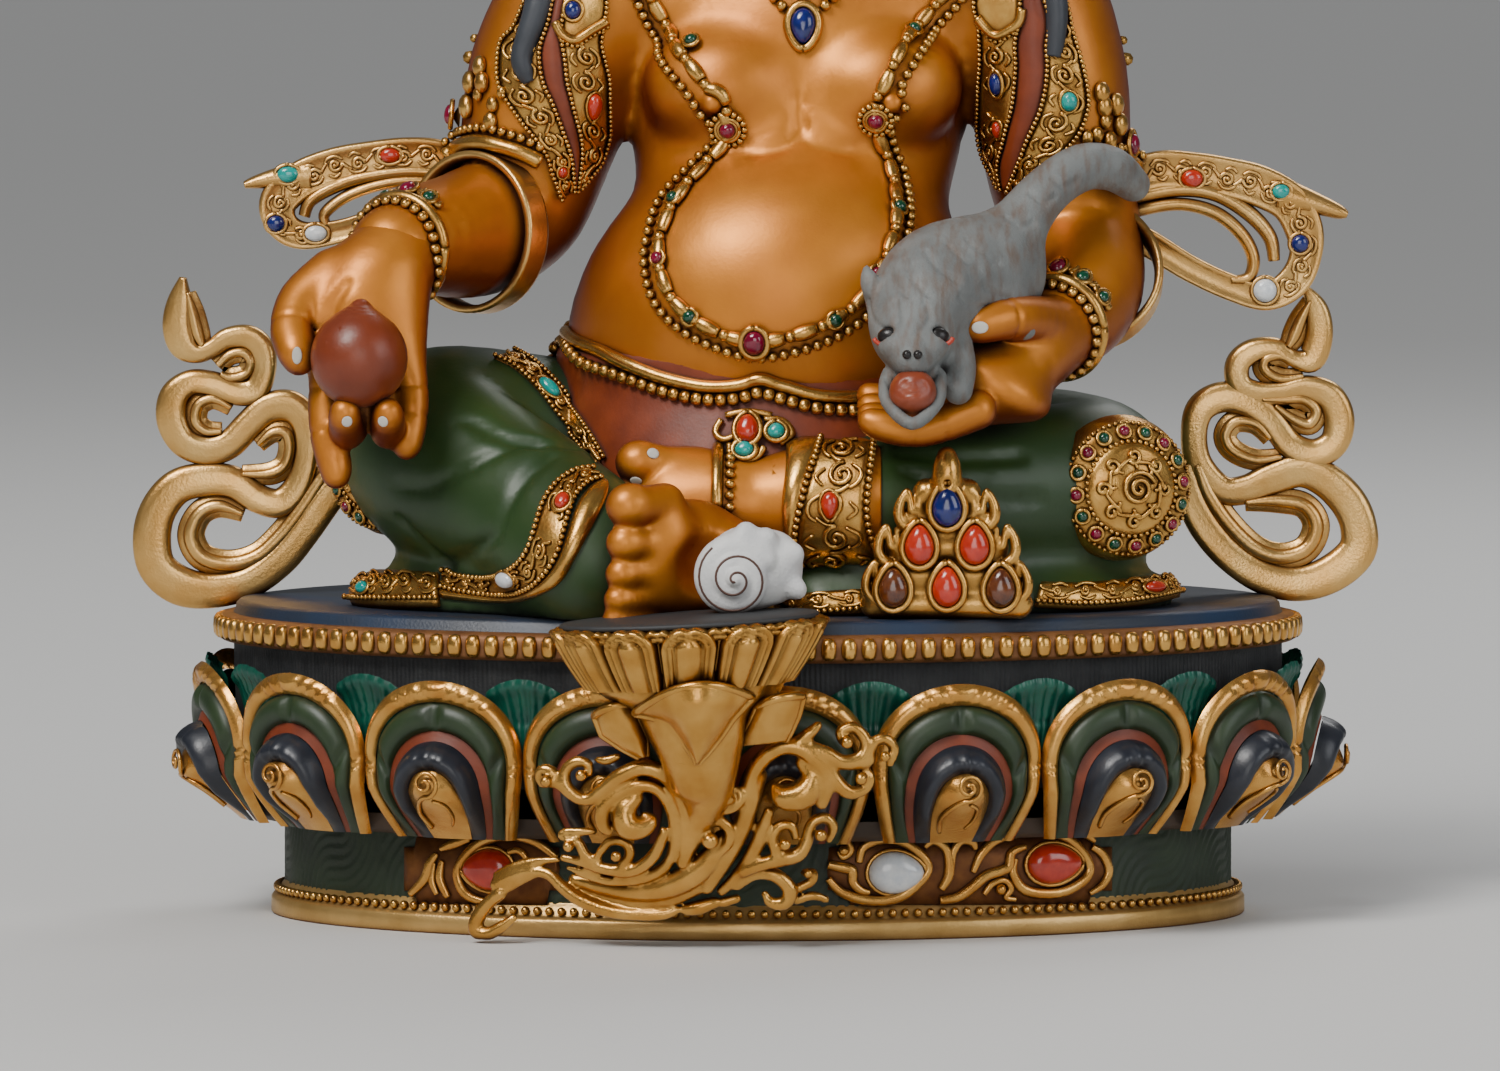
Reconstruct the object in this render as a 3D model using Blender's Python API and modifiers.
"""Seated Jambhala on a lotus throne: painted and gilt cast copper, set with stones.

Metres, +Z up, the figure faces -Y. The origin is the middle of the underside.
The throne is drawn as mouldings that step in and out from the oval of its rim.
The figure is drawn on a grid of fingers, as such figures are: one finger is a
158th of its height. A point on the grid is counted from the middle of the seat, a
little under the throne's top, where the figure is cut flat.
"""
import math

import bmesh
import bpy
from mathutils import Matrix, Vector

# Driving sizes
RIM_WIDTH = 0.1464
RIM_DEPTH = 0.0906
FOOT_HEIGHT = 0.0026
FOOT_STEP = 0.0021
DADO_HEIGHT = 0.0085
LOTUS_HEIGHT = 0.0212
BAND_HEIGHT = 0.0028
RIM_HEIGHT = 0.0034
PLATE_HEIGHT = 0.0017
FOOT_INSET = 0.0077
DADO_INSET = 0.0096
BAND_INSET = 0.0028
PLATE_INSET = 0.0030
PETAL_BULGE = 0.0022
NOSE_REACH = 0.0056
VALLEY_DEPTH = 0.0030
CREST_SETBACK = 0.0012
PLATE_ROUND = 0.0006
PETALS = 17
PETAL_SHIFT = 0.0034
FIGURE_HEIGHT = 0.158
SEAT_SINK = 0.0016
GAP = 0.0003
SCARF_THICKNESS = 0.0028
BRACKET_WIDTH = 0.0344
BRACKET_DEPTH = 0.0250
BRACKET_LIFT = 0.0014
CUP_HEIGHT = 0.0160
LEAF_CLEARANCE = 0.0006
PILE_WIDTH = 0.0212
PILE_HEIGHT = 0.0218
PILE_DEPTH = 0.0050
PILE_STONE_RISE = 0.0017
CONCH_LENGTH = 0.0125
CITRON_DIAMETER = 0.0130
DADO_STONE = 0.0062
DADO_STONE_RISE = 0.0014

# Levels and scales that follow from them
FINGER = FIGURE_HEIGHT / 158
DADO_FLOOR = FOOT_HEIGHT + FOOT_STEP
LOTUS_FLOOR = DADO_FLOOR + DADO_HEIGHT
LOTUS_TOP = LOTUS_FLOOR + LOTUS_HEIGHT
BAND_TOP = LOTUS_TOP + BAND_HEIGHT
RIM_TOP = BAND_TOP + RIM_HEIGHT
THRONE_TOP = RIM_TOP + PLATE_HEIGHT
SEAT = THRONE_TOP + GAP
LEAF_RISE = THRONE_TOP / 42
LEAF_SPREAD = BRACKET_WIDTH / 34.4
LEAF_REACH = BRACKET_DEPTH / 25

# Colours: base colour, roughness, metallic
PAINTS = {
    "skin": ((0.72, 0.33, 0.07), 0.38, 0.6),
    "gold": ((0.80, 0.55, 0.22), 0.32, 0.9),
    "lotus": ((0.16, 0.20, 0.12), 0.45, 0.1),
    "grey": ((0.30, 0.32, 0.32), 0.7, 0.0),
    "brick": ((0.42, 0.13, 0.06), 0.4, 0.0),
    "shell": ((0.80, 0.79, 0.76), 0.35, 0.0),
    "coral": ((0.75, 0.13, 0.07), 0.2, 0.0),
    "lapis": ((0.04, 0.06, 0.35), 0.2, 0.0),
    "amber": ((0.30, 0.11, 0.05), 0.12, 0.0),
    "pearl": ((0.80, 0.82, 0.82), 0.2, 0.0),
}


# Tools of the model

def collection(name):
    made = bpy.data.collections.new(name)
    bpy.context.scene.collection.children.link(made)
    return made


def paint(name):
    colour, rough, metallic = PAINTS[name]
    found = bpy.data.materials.get(name)
    if found:
        return found
    material = bpy.data.materials.new(name)
    material.use_nodes = True
    shader = material.node_tree.nodes["Principled BSDF"]
    shader.inputs["Base Color"].default_value = (*colour, 1)
    shader.inputs["Roughness"].default_value = rough
    shader.inputs["Metallic"].default_value = metallic
    return material


def keep(name, bm, finish):
    """The bmesh as a named object of the statue, in its paint."""
    mesh = bpy.data.meshes.new(name)
    bmesh.ops.recalc_face_normals(bm, faces=bm.faces)
    bm.to_mesh(mesh)
    bm.free()
    made = bpy.data.objects.new(name, mesh)
    made.data.materials.append(paint(finish))
    STATUE.objects.link(made)
    return made


def settled(made):
    """The object with its modifiers worked in."""
    graph = bpy.context.evaluated_depsgraph_get()
    mesh = bpy.data.meshes.new_from_object(made.evaluated_get(graph))
    made.modifiers.clear()
    made.data = mesh
    return made


def grid(x, y, z):
    """A point of the figure's grid, in fingers from the middle of the seat."""
    return Vector((x, y, z)) * FINGER + Vector((0, 0, SEAT - SEAT_SINK))


def ball(bm, centre, radii, turn=None):
    """An ellipsoid of clay."""
    matrix = Matrix.Translation(centre) @ (turn or Matrix()) @ Matrix.Diagonal((*radii, 1))
    bmesh.ops.create_icosphere(bm, subdivisions=3, radius=1, matrix=matrix)


def roll(bm, start, end, r_start, r_end):
    """A tapered roll of clay with round ends."""
    along = end - start
    turn = along.to_track_quat("Z", "Y").to_matrix().to_4x4()
    matrix = Matrix.Translation((start + end) / 2) @ turn
    bmesh.ops.create_cone(bm, cap_ends=True, segments=14, radius1=r_start, radius2=r_end,
                          depth=along.length, matrix=matrix)
    for place, radius in ((start, r_start), (end, r_end)):
        bmesh.ops.create_icosphere(bm, subdivisions=2, radius=radius,
                                   matrix=Matrix.Translation(place))


def limb(bm, stations):
    """Rolls through stations (x, y, z, radius) of the figure's grid."""
    for (x0, y0, z0, r0), (x1, y1, z1, r1) in zip(stations, stations[1:]):
        roll(bm, grid(x0, y0, z0), grid(x1, y1, z1), r0 * FINGER, r1 * FINGER)


def mass(bm, x, y, z, rx, ry, rz, turn=None):
    """An ellipsoid of the figure's grid."""
    ball(bm, grid(x, y, z), Vector((rx, ry, rz)) * FINGER, turn)


def smooth_path(points, steps):
    """Points along a Catmull-Rom curve through the given ones; any number of values a point."""
    ends = [points[0], *points, points[-1]]
    found = []
    for i in range(1, len(ends) - 2):
        p0, p1, p2, p3 = ends[i - 1:i + 3]
        for j in range(steps):
            t = j / steps
            found.append(tuple(
                0.5 * (2 * b + (c - a) * t + (2 * a - 5 * b + 4 * c - d) * t * t
                       + (3 * b - a - 3 * c + d) * t ** 3)
                for a, b, c, d in zip(p0, p1, p2, p3)))
    found.append(tuple(points[-1]))
    return found


def fuse(made, voxel, passes, share):
    """Joins overlapping clay into one skin, smooths it and leaves a share of its faces."""
    melt = made.modifiers.new("melt", "REMESH")
    melt.mode = "VOXEL"
    melt.voxel_size = voxel
    smooth = made.modifiers.new("smooth", "SMOOTH")
    smooth.factor = 0.5
    smooth.iterations = passes
    thin = made.modifiers.new("thin", "DECIMATE")
    thin.ratio = share
    return settled(made)


def biggest_body(made):
    """Drops crumbs that a cut leaves loose."""
    bm = bmesh.new()
    bm.from_mesh(made.data)
    left, bodies = set(bm.verts), []
    while left:
        body, edge = set(), [left.pop()]
        while edge:
            vert = edge.pop()
            body.add(vert)
            fresh = [e.other_vert(vert) for e in vert.link_edges]
            edge += [v for v in fresh if v in left]
            left.difference_update(fresh)
        bodies.append(body)
    keep_body = max(bodies, key=len)
    bmesh.ops.delete(bm, geom=[v for v in bm.verts if v not in keep_body], context="VERTS")
    bm.to_mesh(made.data)
    bm.free()
    return made


def cut(made, bm, crossing=False):
    """Takes the bmesh's shape out of the object; its faces may cross each other if so stated."""
    mesh = bpy.data.meshes.new("cutter")
    bmesh.ops.recalc_face_normals(bm, faces=bm.faces)
    bm.to_mesh(mesh)
    bm.free()
    cutter = bpy.data.objects.new("cutter", mesh)
    cutter.hide_render = True
    cutter.display_type = "WIRE"
    CUTTERS.objects.link(cutter)
    taken = made.modifiers.new("cut", "BOOLEAN")
    taken.operation = "DIFFERENCE"
    taken.use_self = crossing
    taken.object = cutter
    settled(made)
    bpy.data.objects.remove(cutter)
    return biggest_body(made)


def clear_of(made, other):
    """Trims the object where it would meet another, with the usual gap between them."""
    corner_allowance = 1.6
    bm = bmesh.new()
    bm.from_mesh(other.data)
    bmesh.ops.recalc_face_normals(bm, faces=bm.faces)
    bm.normal_update()
    moves = [v.normal * GAP * corner_allowance for v in bm.verts]
    for vert, move in zip(bm.verts, moves):
        vert.co += move
    return cut(made, bm, crossing=True)


def block(low, high):
    """A box between two corners, as a bmesh."""
    bm = bmesh.new()
    low, high = Vector(low), Vector(high)
    matrix = Matrix.Translation((low + high) / 2) @ Matrix.Diagonal((*(high - low), 1))
    bmesh.ops.create_cube(bm, size=1, matrix=matrix)
    return bm


def loft(bm, rings):
    """Skins closed rings of equal count, and closes both ends with a fan."""
    rows = [[bm.verts.new(p) for p in ring] for ring in rings]
    count = len(rows[0])
    for low, high in zip(rows, rows[1:]):
        for i in range(count):
            j = (i + 1) % count
            bm.faces.new((low[i], low[j], high[j], high[i]))
    for row in (rows[0], rows[-1]):
        middle = bm.verts.new(sum((v.co for v in row), Vector()) / count)
        for i in range(count):
            bm.faces.new((row[i], row[(i + 1) % count], middle))


# The throne: one casting, an oval lotus between a foot and a beaded rim

def oval(count, shift, out):
    """Points and outward normals evenly spaced round an oval that lies outside the rim's."""
    a, b = RIM_WIDTH / 2 + out, RIM_DEPTH / 2 + out
    fine = 2880
    turns = [2 * math.pi * i / fine for i in range(fine + 1)]
    places = [Vector((a * math.sin(t), -b * math.cos(t), 0)) for t in turns]
    run = [0.0]
    for p, q in zip(places, places[1:]):
        run.append(run[-1] + (q - p).length)
    found, k = [], 0
    for i in range(count):
        goal = (shift + run[-1] * i / count) % run[-1]
        k = 0 if goal < run[k] else k
        while run[k + 1] < goal:
            k += 1
        t = turns[k] + (turns[k + 1] - turns[k]) * (goal - run[k]) / (run[k + 1] - run[k])
        place = Vector((a * math.sin(t), -b * math.cos(t), 0))
        normal = Vector((b * math.sin(t), -a * math.cos(t), 0)).normalized()
        found.append((place, normal))
    return found


def arch(t):
    """Height of a petal's edge across its width, t from -1 to 1, as a share of the lotus."""
    notch = 0.5
    return 1 - notch * abs(t) ** 3


def swell(t, v):
    """How far a petal stands out beyond the rim, at t across it and v up it."""
    bowl = PETAL_BULGE * math.sin(math.pi * min(1, 0.16 + v * 0.72)) * (1 - 0.5 * t * t)
    nose = math.exp(-((v - 0.36) / 0.22) ** 2) * math.exp(-(t / 0.5) ** 2)
    tuck = DADO_INSET * 0.45 * max(0, 1 - v / 0.3)
    valley = VALLEY_DEPTH * abs(t) ** 3
    return bowl + (NOSE_REACH - PETAL_BULGE) * nose - tuck - valley


def throne():
    columns = 6
    line = NOSE_REACH * 0.7
    stations = oval(PETALS * columns, PETAL_SHIFT, line)
    across = [((i + columns / 2) % columns) / columns * 2 - 1 for i in range(len(stations))]

    def plain(out, height):
        """A level ring of the mouldings."""
        return [p + n * (out - line) + Vector((0, 0, height)) for p, n in stations]

    def carved(v):
        """A ring across all petals, at v from their foot to their crest."""
        return [p + n * (swell(t, v) - line)
                + Vector((0, 0, LOTUS_FLOOR + LOTUS_HEIGHT * arch(t) * v))
                for (p, n), t in zip(stations, across)]

    behind = [p - n * (CREST_SETBACK + line)
              + Vector((0, 0, LOTUS_FLOOR + LOTUS_HEIGHT * (arch(t) - 0.02)))
              for (p, n), t in zip(stations, across)]
    rows = [plain(-FOOT_INSET, 0), plain(-FOOT_INSET, FOOT_HEIGHT),
            plain(-DADO_INSET, DADO_FLOOR), plain(-DADO_INSET, LOTUS_FLOOR)]
    rows += [carved(v) for v in (0.05, 0.36, 0.68, 1.0)]
    rows += [behind, plain(-BAND_INSET, LOTUS_TOP), plain(-BAND_INSET, BAND_TOP),
             plain(0, (BAND_TOP + RIM_TOP) / 2), plain(-PLATE_INSET, RIM_TOP),
             plain(-PLATE_INSET - PLATE_ROUND, THRONE_TOP)]
    bm = bmesh.new()
    loft(bm, rows)
    return keep("lotus_throne", bm, "lotus")


# The figure: one casting of body, dress, hair, crown and hands

def torso(bm):
    mass(bm, 1, 5, 14, 30, 20, 15)
    mass(bm, 2.6, -2, 37, 28, 24.5, 20)
    mass(bm, 3.4, -5, 45, 23.6, 22, 18)
    mass(bm, 5.2, 2, 60, 20.5, 15, 14)
    mass(bm, 5.5, 3, 68, 21.5, 14.5, 16)
    mass(bm, 6.2, 3, 78, 24, 12.5, 11)
    for side in (-1, 1):
        mass(bm, 6 + side * 10.2, -6, 69.5, 10.5, 9, 8.6)
        mass(bm, 5.8 + side * 11.6, -14.6, 68, 1.6, 1.8, 1.6)
        limb(bm, [(6.5 + side * 6, 4, 87, 8.5), (6.5 + side * 27, 3.5, 84, 9)])
    limb(bm, [(6.5, 4, 86, 10), (6.6, 2.5, 98, 9)])


def head(bm):
    mass(bm, 6.6, 1, 115, 14, 15.5, 16)
    mass(bm, 6.6, -4.5, 107.5, 12, 10.5, 11.5)
    mass(bm, 6.6, -11.5, 100.4, 4.2, 3.8, 3.6)
    limb(bm, [(6.6, -14, 114.5, 1.5), (6.6, -16.6, 109, 2.1)])
    mass(bm, 6.6, -14.6, 104.6, 3.8, 1.6, 1.3)
    for side in (-1, 1):
        limb(bm, [(6.6 + side * 13.6, 1, 113, 2.6), (6.6 + side * 14.4, 1, 103, 2.2)])
        mass(bm, 6.6 + side * 15, 0, 98.5, 3.4, 2.2, 3.4)


def crown_and_hair(bm):
    turns = [2 * math.pi * i / 16 for i in range(17)]
    limb(bm, [(6.6 + 14.6 * math.sin(t), 0.4 - 16 * math.cos(t), 122.5, 2) for t in turns])
    for i in range(-2, 3):
        turn = math.radians(38) * i
        x, y = 6.6 + 14.8 * math.sin(turn), 0.6 - 16.4 * math.cos(turn)
        tall = 9 if i == 0 else 7.2 if abs(i) == 1 else 6
        limb(bm, [(x, y, 123, 4.2), (x, y, 124 + tall * 0.45, 3.6), (x, y, 125.5 + tall, 1.2)])
    mass(bm, 6.6, 2, 128, 11, 11, 6)
    limb(bm, [(6.6, 3, 130, 7.5), (6.6, 3, 138, 8), (6.6, 3, 145, 5.4)])
    limb(bm, [(6.6, 3, 147, 3.6), (6.6, 3, 151.5, 3.4), (6.6, 3, 156.6, 1.3)])
    mass(bm, 6.6, 11, 108, 13, 8, 15)
    for side in (-1, 1):
        limb(bm, [(6.6 + side * 10, 11, 104, 5), (6.6 + side * 20, 9, 92, 4),
                  (6.6 + side * 30, 1, 86, 3.2), (6.6 + side * 34, -6.5, 76, 2.4),
                  (6.6 + side * 33.4, -9, 70, 1.6)])


def right_arm(bm):
    limb(bm, [(-22, 3, 84, 10.5), (-27.5, 2.5, 72, 11.4), (-30, 2.5, 62, 10.4),
              (-32, 3, 50, 8.4)])
    limb(bm, [(-32, 3, 50, 8.6), (-40, -9, 50.5, 8), (-48, -22, 49, 5.8)])
    limb(bm, [(-49, -24, 48, 5.6), (-51.5, -27.5, 42, 6), (-50.5, -29.5, 35, 5.2)])
    limb(bm, [(-52, -27, 44, 5), (-56, -28.5, 38, 4.6)])
    limb(bm, [(-55.5, -30, 35, 2.9), (-56.2, -32, 27, 2.4), (-55.6, -33.5, 20.5, 2.1)])
    limb(bm, [(-53, -30, 33, 2.6), (-53.6, -32.5, 26, 2.3), (-53.8, -37.5, 26.5, 2.3),
              (-53.8, -39.5, 28.2, 2)])
    limb(bm, [(-48.8, -30, 33, 2.6), (-48.6, -32.5, 26, 2.3), (-48.2, -37.5, 26.5, 2.2),
              (-48.2, -39.3, 28.2, 1.9)])
    limb(bm, [(-46.5, -30, 35, 2.5), (-45.6, -32, 28.5, 2.1), (-45.8, -34, 23.5, 1.8)])
    limb(bm, [(-55, -26.5, 44, 3.8), (-60.4, -29.5, 40.5, 3), (-60.4, -34.5, 35.5, 2.3)])


def left_arm(bm):
    limb(bm, [(35, 3, 84, 10.5), (39, 2.5, 72, 10.4), (40, 2.5, 60, 9.6), (42, 3, 48, 8.8)])
    limb(bm, [(42, 3, 46, 8.8), (42.4, -9, 41.5, 7.8), (38.8, -18.5, 38, 5.8)])
    limb(bm, [(39, -19, 37.5, 5.8), (33, -26.5, 33.5, 5.4), (27, -30, 31, 4.6)])
    for i, lift in enumerate((1.2, 0, -1.0, -1.6)):
        y = -26.5 - i * 3.6
        limb(bm, [(28, y, 30 + lift, 2.5), (21, y - 0.6, 27.6 + lift, 2.2),
                  (15.4, y - 0.9, 28.6 + lift, 1.9)])
    limb(bm, [(37, -24, 38, 3.6), (33, -31, 40, 2.8), (28.8, -34, 39.4, 2.2)])


def right_leg(bm):
    limb(bm, [(-13, 3, 16, 15), (-30, -1, 20, 14), (-42, -5, 23, 13.2)])
    limb(bm, [(-41.5, -9, 21, 12.6), (-31, -23, 15, 10.8), (-22.5, -33, 10.5, 9.4)])
    limb(bm, [(-24, -32, 9.8, 9.6), (-21.4, -35.5, 8.6, 9.4)])
    limb(bm, [(-20, -36, 9.5, 6), (-6, -36.5, 8.4, 5.4)])
    turn = Matrix.Rotation(math.radians(42), 4, "Z")
    mass(bm, -9.5, -40.5, 9, 10.5, 4, 8, turn)
    mass(bm, -3.4, -36.4, 6.8, 5.2, 5, 6)
    for i, (z, r) in enumerate(((16.6, 3), (12, 2.4), (8.2, 2.1), (5, 1.9), (2.6, 1.7))):
        limb(bm, [(-12.5 - i * 0.3, -44, z, r), (-16.6 - i * 0.4, -47.4, z, r * 0.95)])


def left_leg(bm):
    limb(bm, [(17, 3, 15, 14), (34, -2, 17, 13), (43, -7, 17, 11.6)])
    limb(bm, [(43.6, -10, 16.8, 11), (28, -20, 16.5, 10.6), (12, -26, 15.5, 8.6)])
    limb(bm, [(8, -26.5, 15.5, 7), (-5, -27, 15.5, 6.2)])
    turn = Matrix.Rotation(math.radians(4), 4, "Z")
    mass(bm, -9, -25.5, 15, 8.5, 5, 8.2, turn)
    for z, r, x in ((21.6, 2.6, -17), (17.4, 2.1, -18.4), (13.6, 1.9, -18.2), (10.4, 1.7, -17.4)):
        limb(bm, [(-11, -26.5, z - 1, r), (x, -27, z, r)])
    knee_boss(bm)


def knee_boss(bm):
    """The round domed ornament on the left knee, with a raised edge."""
    out = Vector((0.5, -0.86, 0))
    frame = out.to_track_quat("Z", "Y").to_matrix()
    middle = Vector((48.2, -18, 17.2))
    mass(bm, *(middle + out * 0.8), 8.4, 8.4, 3.8, frame.to_4x4())
    loop = [middle + frame @ Vector((math.cos(t), math.sin(t), 0)) * 8.8
            for t in (2 * math.pi * i / 16 for i in range(17))]
    limb(bm, [(*place, 1.5) for place in loop])


def spread_hems(bm):
    """The trouser hems that lie on the throne beside each leg."""
    left = smooth_path([(-56, -9, 2.4), (-57, -16, 2.3), (-50, -23, 2.2), (-40, -30, 2.2),
                        (-30, -36, 2.4), (-22, -39, 2.6)], 2)
    right = smooth_path([(8, -33, 2.3), (22, -33, 2.2), (35, -30, 2.2), (47, -26, 2.2),
                         (58, -18, 2.2), (60, -10, 2.2)], 2)
    for line in (left, right):
        for (x0, y0, z0), (x1, y1, z1) in zip(line, line[1:]):
            limb(bm, [(x0, y0, z0, 2), (x1, y1, z1, 2)])
            limb(bm, [(x0 * 0.9, y0 * 0.8, z0, 3), (x1 * 0.9, y1 * 0.8, z1, 3)])
            limb(bm, [(x0 * 0.8, y0 * 0.62, z0 + 3, 5), (x1 * 0.8, y1 * 0.62, z1 + 3, 5)])


def belt_and_garland(bm):
    belt = [(-27.5, -4, 37.5), (-20, -19, 33.5), (-10, -25.5, 30.2), (0.5, -27.4, 30.6),
            (11, -25.5, 29), (22, -19, 31), (29, -5, 34)]
    limb(bm, [(*place, 1.7) for place in smooth_path(belt, 4)])
    garland = [(-13, -7, 82), (-8, -12.5, 72), (-5.4, -16.2, 66.5), (-9.5, -18.6, 58),
               (-12, -22, 49), (-9.5, -25.6, 41), (0.5, -28, 36.4), (11, -26.8, 38.4),
               (17.5, -23.6, 45), (18.8, -20, 54), (16.6, -16.2, 66.5), (20.5, -12, 73),
               (25, -7, 82)]
    limb(bm, [(*place, 1.3) for place in smooth_path(garland, 3)])


def bangles(bm):
    """Armlets, bracelets, an anklet, and the scarf where it winds round each forearm."""
    rings = (((-28.6, 2.5, 65), (0.24, 0, 1), 11, 1.7),
             ((40, 2.5, 65.5), (-0.1, 0, 1), 10.4, 1.7),
             ((-47, -20, 49.3), (-0.5, -0.86, -0.08), 6.6, 1.5),
             ((-37.5, -5.5, 50.5), (-0.55, -0.83, 0), 9.4, 1.7),
             ((39.6, -17, 38.6), (-0.4, -0.85, -0.2), 6.7, 1.5),
             ((42.4, -5.5, 42.8), (0, -0.94, 0.3), 9, 1.6),
             ((-7.6, -27, 15.6), (-1, 0, 0), 6.3, 1.3))
    for middle, axis, radius, thick in rings:
        frame = Vector(axis).to_track_quat("Z", "Y").to_matrix()
        loop = [Vector(middle) + frame @ Vector((math.cos(t), math.sin(t), 0)) * radius
                for t in (2 * math.pi * i / 14 for i in range(15))]
        limb(bm, [(*place, thick) for place in loop])


def figure():
    bm = bmesh.new()
    for sculpt in (torso, head, crown_and_hair, right_arm, left_arm, right_leg, left_leg,
                   spread_hems, belt_and_garland, bangles):
        sculpt(bm)
    made = keep("figure", bm, "skin")
    fuse(made, FINGER, 3, 0.0255)
    wide = FIGURE_HEIGHT
    return cut(made, block((-wide, -wide, -wide), (wide, wide, SEAT)))


# Things that the figure holds and rests on

def citron(holder):
    bm = bmesh.new()
    radius = CITRON_DIAMETER / 2
    middle = grid(-52, -37.6, 35.6)
    bmesh.ops.create_uvsphere(bm, u_segments=12, v_segments=7, radius=radius,
                              matrix=Matrix.Translation(middle))
    for vert in bm.verts:
        rise = (vert.co.z - middle.z) / radius
        if rise > 0.95:
            vert.co.z += radius * 0.12
    return clear_of(keep("citron", bm, "brick"), holder)


def mongoose(holder):
    """A mongoose held on the left hand, a jewel between its jaws."""
    bm = bmesh.new()
    limb(bm, [(20.2, -38.5, 38.8, 5.6), (20, -43, 34, 4.6)])
    mass(bm, 19.8, -46, 32.2, 3.5, 3.5, 3.5)
    limb(bm, [(20.3, -37, 40, 5.4), (23, -31, 43.6, 7.8), (28, -25.6, 45, 8), (31, -23, 46, 6)])
    limb(bm, [(31, -22.5, 47.5, 5), (34.2, -20.8, 52.6, 3.6), (38.4, -17.6, 57, 3.3),
              (43, -13.6, 59.4, 3.2), (47, -10.4, 59, 3), (50.4, -5.6, 56.6, 2.2)])
    limb(bm, [(30, -29, 42, 5), (34.4, -27.4, 40.6, 2.6)])
    for side in (-1, 1):
        limb(bm, [(20.2 + side * 4.8, -36.5, 42.2, 2), (20.2 + side * 6, -35.8, 45, 1.2)])
    limb(bm, [(25, -33, 38, 2.6), (25.8, -36.4, 31.8, 1.9)])
    made = keep("mongoose", bm, "grey")
    fuse(made, 0.9 * FINGER, 2, 0.041)
    return clear_of(made, holder)


def ribbon(name, paths, depth_at, near, share):
    """A flat ribbon along paths of (x, z, half width), standing at one depth."""
    bm = bmesh.new()
    half = SCARF_THICKNESS / 2
    for path in paths:
        for (x0, z0, r0), (x1, z1, r1) in zip(path, path[1:]):
            roll(bm, Vector((x0, 0, z0)) * FINGER, Vector((x1, 0, z1)) * FINGER,
                 r0 * FINGER, r1 * FINGER)
    for vert in bm.verts:
        vert.co.y = max(-half, min(half, vert.co.y))
        vert.co += grid(0, depth_at, 0)
    made = fuse(keep(name, bm, "gold"), 0.55 * FINGER, 2, share)
    for other in near:
        clear_of(made, other)
    return made


def lower_scarf(side, near):
    """A flying ribbon that rises in folds from behind a knee."""
    line = smooth_path([
        (77.5, 43.5, 0.8), (77.8, 40, 1.9), (77.5, 37, 2.3), (75.8, 34.4, 2.2), (72, 34.8, 2.2),
        (68.6, 34.6, 2.3), (67.2, 32, 2.3), (68.8, 29.3, 2.2), (73, 29, 2.3), (77.6, 27.6, 2.5),
        (78.6, 24, 2.7), (75.5, 21, 2.5), (71, 22.4, 2.4), (66.8, 25.6, 2.6), (63, 25.4, 2.7),
        (61.2, 20.5, 2.8), (63.6, 15.4, 2.8), (68.8, 14.6, 2.6), (75, 15.6, 2.9),
        (79.6, 12.6, 3.1), (80.6, 7.5, 3.2), (77.6, 3.4, 3.2), (71.5, 2.8, 3), (64.6, 5.8, 3),
        (59.4, 12, 2.9), (56, 16.8, 2.8), (50, 21, 2.8), (44, 23, 2.6), (38, 23, 2.4)], 2)
    line = [(side * x, z, r) for x, z, r in line]
    name = "scarf_lower_left" if side > 0 else "scarf_lower_right"
    return ribbon(name, [line], 7.5, near, 0.02)


def upper_scarf(side, near):
    """A loop of ribbon that stands out from an elbow."""
    if side > 0:
        line = [(43, 52.5, 2), (48.5, 55, 2.8), (52.5, 56, 3.2), (57, 56.2, 3.3), (61.5, 55.6, 3.3),
                (66, 54.6, 3.4), (71, 53, 3.4), (75, 49.6, 2.8), (74.6, 45.4, 2.4),
                (71.5, 42.6, 2.3), (67, 41.2, 2), (62, 42.2, 1.9), (57, 45, 1.9), (51, 48.8, 2),
                (46, 50, 2)]
        tip = [(72, 53.2, 3.2), (78.6, 52.8, 0.8)]
        name = "scarf_upper_left"
    else:
        line = [(-36, 58, 2), (-41.5, 58.8, 2.6), (-46, 58.8, 3), (-51, 58.4, 3.2), (-57, 57.6, 3.3),
                (-62, 56.2, 3.4), (-65, 53.4, 2.8), (-62.6, 50.4, 2.2), (-57.5, 50.2, 2),
                (-52, 52, 1.9), (-46, 54, 1.9), (-40, 56, 2)]
        tip = [(-62, 56.6, 3.2), (-69, 56.4, 0.8)]
        name = "scarf_upper_right"
    return ribbon(name, [line, tip], 4, near, 0.034)


def front_point(x, out, z):
    """A point in front of the throne, x and z on the leaves' grid, and out from the rim."""
    a, b = RIM_WIDTH / 2, RIM_DEPTH / 2
    x *= LEAF_SPREAD
    return Vector((x, -b * math.sqrt(max(0, 1 - (x / a) ** 2)) - out, z * LEAF_RISE))


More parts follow.
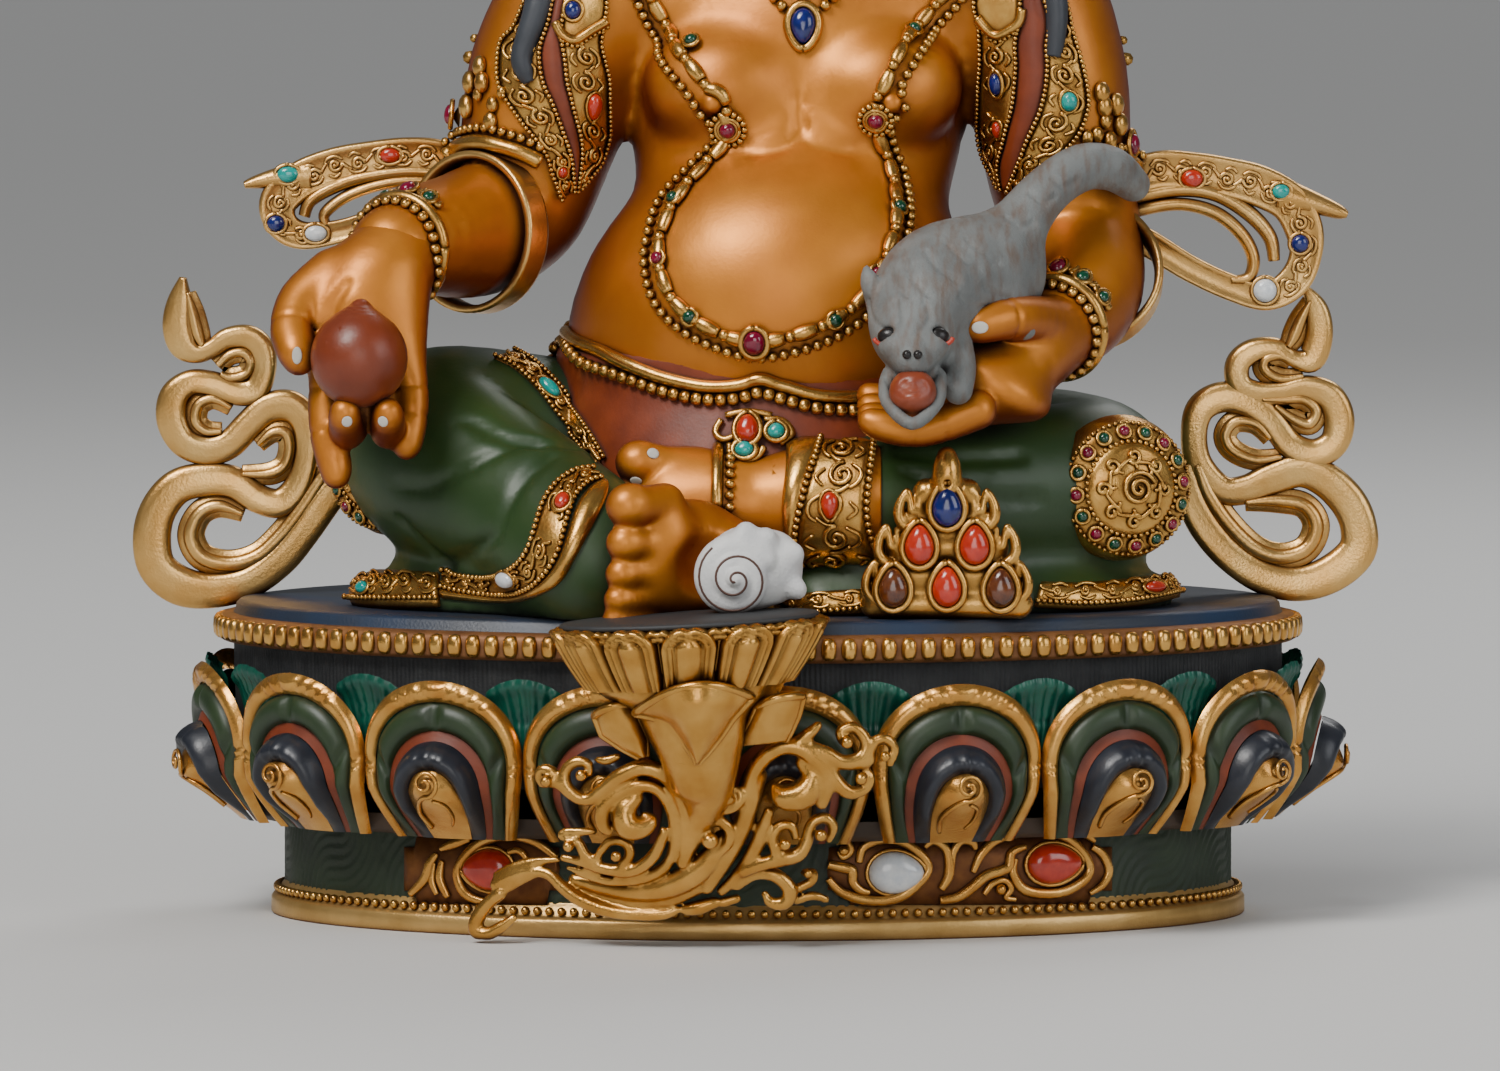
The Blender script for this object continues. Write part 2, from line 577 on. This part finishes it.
LEAVES = {
    "middle sepal": [(-14.2, 14.5, 33.4, 1.6), (-8, 19.5, 34.8, 2.4), (-2, 15.5, 34.2, 1.8)],
    "sepal left half": [(-12.6, 15.5, 32.6, 2.2), (-7.6, 18, 27.8, 1.8)],
    "sepal right half": [(-3.4, 16.5, 32.6, 2.2), (-7.6, 18, 27.8, 1.8)],
    "left sepal": [(-18, 10, 33, 1.8), (-18.2, 12, 30, 1.7), (-15.2, 13, 27, 1.2)],
    "right sepal": [(2, 12, 33.4, 1.8), (3.6, 12, 30.6, 1.6), (3.6, 12, 28.6, 1.1)],
    "stem": [(-7.5, 12, 31, 5), (-7, 9, 25, 4.2), (-6.8, 7, 20.5, 4), (-7.6, 5.4, 16, 3.8),
             (-10.5, 4, 12, 3.2), (-14.5, 3, 9.6, 2.4), (-19, 1.5, 8.8, 1.9),
             (-24, 0.5, 9.6, 1.7), (-29, -0.5, 10, 1.6), (-33, -1.6, 8.6, 1.6),
             (-35.4, -2, 5, 1.5), (-36.4, -1.6, 2.4, 1.4), (-34.4, -1.6, 1.9, 1.2)],
    "left volute": [(-9.5, 5, 13, 1.8), (-9.2, 6.5, 17, 1.7), (-9.6, 7.5, 20.5, 1.7),
                    (-11.8, 8, 23.4, 1.7), (-15.5, 8, 24.2, 1.7), (-19, 7.6, 22.8, 1.6),
                    (-20.4, 7, 19.6, 1.5), (-19.2, 6.5, 16.6, 1.2)],
    "left curl": [(-15.5, 8, 21.8, 1.6), (-17.6, 7.5, 19.4, 1.7), (-17, 7, 16.8, 1.8),
                  (-14.8, 6.6, 16.2, 1.5), (-14, 6.6, 17.8, 1)],
    "left tip": [(-17, 8, 23.6, 1.5), (-21.4, 8, 22, 1.5), (-24.4, 8, 21.4, 1.3),
                 (-26.6, 8, 23.4, 1.1)],
    "left tip back": [(-22.6, 8, 21.8, 1.2), (-24, 8, 23.8, 1), (-22.6, 8, 25, 0.9)],
    "right volute": [(-5, 3, 8, 1.8), (-2.6, 5, 12.5, 1.8), (-1.2, 6.6, 17, 1.7),
                     (-1, 8, 21.4, 1.7), (1, 9, 24.8, 1.7), (4.6, 9, 26.2, 1.7),
                     (8, 8.6, 24.2, 1.7), (8.4, 8, 21, 1.7), (5.4, 7.6, 19.6, 1.9),
                     (2.8, 7.4, 20.8, 1.6), (2.8, 7.4, 22, 1.1)],
    "right tip": [(6, 9, 26.8, 1.3), (9.4, 9, 24.2, 1.3), (11.6, 8.6, 21.4, 1.3),
                  (14.4, 8.4, 21.8, 1.1)],
    "right tip top": [(8, 9, 26.8, 1.3), (11, 9, 25.4, 1.2), (14, 9, 25.6, 1.2),
                      (16.8, 8.8, 26.6, 1)],
    "low leaf": [(-3, 3, 9, 1.4), (0.6, 3.4, 11.8, 1.4), (4, 3.6, 12, 1.4), (6.2, 4, 14.2, 1.3),
                 (8.4, 5, 16.4, 1.1)],
    "low curl": [(-2.6, 1, 7.6, 1.2), (0.8, 1, 9.4, 1.2), (4, 1, 8.6, 1.3), (4, 1, 6.4, 1.3),
                 (1.4, 1, 6, 1)],
    "long strand": [(-5.5, 0, 5, 1.1), (-11, 0, 5.2, 1.1), (-17, 0, 5.8, 1.1), (-22, 0, 8, 1.1),
                    (-25, 0, 10, 1.1)],
    "middle leaf": [(-12.6, 5, 15, 1.2), (-13.8, 4, 12.4, 1.2), (-17.6, 2.4, 10.8, 1.1),
                    (-23, 1, 10.8, 1)],
}


def small_lotus(bm):
    """The cup of petals at the top of the stem, with its flat dark top."""
    middle = front_point(-8.9, BRACKET_DEPTH * 0.4, 0)
    top = THRONE_TOP + BRACKET_LIFT
    cup = ((0.3, 1), (0.58, 0.75), (0.86, 0.53), (0.98, 0.28), (1.0, 0.09), (0.95, 0),
           (0.85, 0.012))
    count = 40
    rings = []
    for share, drop in cup:
        ring = []
        for i in range(count):
            t = 2 * math.pi * i / count
            lobe = share * (1 + 0.06 * abs(math.sin(5 * t)) * (share > 0.5))
            ring.append(Vector((middle.x + math.sin(t) * BRACKET_WIDTH / 2 * lobe,
                                middle.y - math.cos(t) * BRACKET_DEPTH / 2 * lobe,
                                top - drop * CUP_HEIGHT)))
        rings.append(ring)
    loft(bm, rings)


def bracket(near):
    """The small lotus on a leafy stem that stands in front of the throne, under the right foot."""
    bm = bmesh.new()
    small_lotus(bm)
    for leaf in LEAVES.values():
        for (x0, o0, z0, r0), (x1, o1, z1, r1) in zip(leaf, leaf[1:]):
            roll(bm, front_point(x0, o0 * LEAF_REACH, z0), front_point(x1, o1 * LEAF_REACH, z1),
                 r0 * LEAF_RISE, r1 * LEAF_RISE)
    made = fuse(keep("footrest_lotus", bm, "gold"), 0.7 * LEAF_RISE, 1, 0.031)
    wide = RIM_WIDTH
    made = cut(made, block((-wide, -wide, -wide), (wide, wide, LEAF_CLEARANCE)))
    for other in near:
        clear_of(made, other)
    return made


def conch(near):
    """A whorled shell, its spire towards the viewer."""
    bm = bmesh.new()
    middle = grid(-2.6, -50, 8.2)
    size = CONCH_LENGTH
    whorls, beads = 2.2, 22
    for i in range(beads):
        share = i / (beads - 1)
        turn = 2 * math.pi * whorls * share
        radius = size * (0.26 - 0.2 * share)
        place = middle + Vector((math.cos(turn) * size * 0.15 * (1 - share),
                                 -size * 0.36 * share + size * 0.06,
                                 math.sin(turn) * size * 0.15 * (1 - share)))
        ball(bm, place, (radius * 1.15, radius, radius * 1.15))
    ball(bm, middle + Vector((size * 0.16, size * 0.12, size * 0.05)),
         (size * 0.34, size * 0.30, size * 0.34))
    made = fuse(keep("conch_shell", bm, "shell"), size * 0.056, 1, 0.08)
    for other in near:
        clear_of(made, other)
    return made


# The pile of jewels: a casting with stones set in it, and stones in the plinth's dado

PILE_STONES = (("lapis", 0.0, 2), ("coral_a", -0.5, 1), ("coral_b", 0.5, 1),
               ("amber_a", -1.0, 0), ("coral_c", 0.0, 0), ("amber_b", 1.0, 0))


def pile_middle():
    place = grid(24.6, -38.4, 0)
    return Vector((place.x, place.y, SEAT))


def jewel_pile(holder):
    bm = bmesh.new()
    outline = [(-0.5, 0.04), (-0.5, 0.3), (-0.38, 0.5), (-0.34, 0.66), (-0.2, 0.72), (-0.14, 0.9),
               (0, 1.0), (0.14, 0.9), (0.2, 0.72), (0.34, 0.66), (0.38, 0.5), (0.5, 0.3),
               (0.5, 0.04), (0.3, 0.0), (-0.3, 0.0)]
    face = bm.faces.new([bm.verts.new((x * PILE_WIDTH, 0, z * PILE_HEIGHT)) for x, z in outline])
    pulled = bmesh.ops.extrude_face_region(bm, geom=[face])
    for item in pulled["geom"]:
        if isinstance(item, bmesh.types.BMVert):
            item.co.y += PILE_DEPTH
    for vert in bm.verts:
        vert.co += pile_middle()
    return clear_of(keep("jewel_pile", bm, "gold"), holder)


def teardrop(bm, middle, width, height, depth):
    """A cabochon that stands out from an upright face, pointed at the top."""
    segments, rows = 8, 2
    back = [bm.verts.new(middle)]
    rings = []
    for j in range(rows):
        lift = math.sin(math.pi / 2 * j / rows) * depth
        wide = math.cos(math.pi / 2 * j / rows)
        ring = []
        for i in range(segments):
            t = 2 * math.pi * i / segments
            point = 1 + 0.25 * max(0, math.cos(t)) ** 3
            ring.append(bm.verts.new(middle + Vector((math.sin(t) * width / 2 * wide, -lift,
                                                      math.cos(t) * height / 2 * wide * point))))
        rings.append(ring)
    front = bm.verts.new(middle + Vector((0, -depth, 0)))
    for i in range(segments):
        j = (i + 1) % segments
        bm.faces.new((rings[0][j], rings[0][i], back[0]))
        bm.faces.new((rings[-1][i], rings[-1][j], front))
        for low, high in zip(rings, rings[1:]):
            bm.faces.new((low[i], low[j], high[j], high[i]))


def pile_stones():
    for name, across, row in PILE_STONES:
        bm = bmesh.new()
        middle = pile_middle() + Vector((across * PILE_WIDTH * 0.33, -GAP,
                                         PILE_HEIGHT * (0.17 + 0.255 * row)))
        teardrop(bm, middle, PILE_WIDTH * 0.23, PILE_HEIGHT * 0.25, PILE_STONE_RISE)
        keep("stone_" + name, bm, name.split("_")[0])


DADO_STONES = (("coral_right", -0.518, "coral"), ("pearl", 0.262, "pearl"),
               ("coral_left", 0.568, "coral"))


def dado_stones():
    """Heart-shaped stones on the plinth, placed by their share of the way to its side."""
    a, b = RIM_WIDTH / 2, RIM_DEPTH / 2
    for name, share, finish in DADO_STONES:
        bm = bmesh.new()
        teardrop(bm, Vector(), DADO_STONE, DADO_STONE * 0.95, DADO_STONE_RISE)
        turn = math.asin(share)
        normal = Vector((b * math.sin(turn), -a * math.cos(turn), 0)).normalized()
        place = Vector((a * math.sin(turn), -b * math.cos(turn), 0))
        place += normal * (-DADO_INSET + GAP * 2)
        place.z = (DADO_FLOOR + LOTUS_FLOOR) / 2
        spin = math.atan2(normal.x, -normal.y)
        matrix = Matrix.Translation(place) @ Matrix.Rotation(spin, 4, "Z")
        bmesh.ops.transform(bm, matrix=matrix, verts=bm.verts)
        keep("dado_stone_" + name, bm, finish)


for thing in list(bpy.data.objects):
    bpy.data.objects.remove(thing)
STATUE = collection("jambhala_statue")
CUTTERS = collection("cutters")
base = throne()
body = figure()
citron(body)
animal = mongoose(body)
for way in (-1, 1):
    lower = lower_scarf(way, (body, base))
    upper_scarf(way, (body, lower, animal))
stand = bracket((base, body))
conch((stand, body, base))
jewel_pile(body)
pile_stones()
dado_stones()
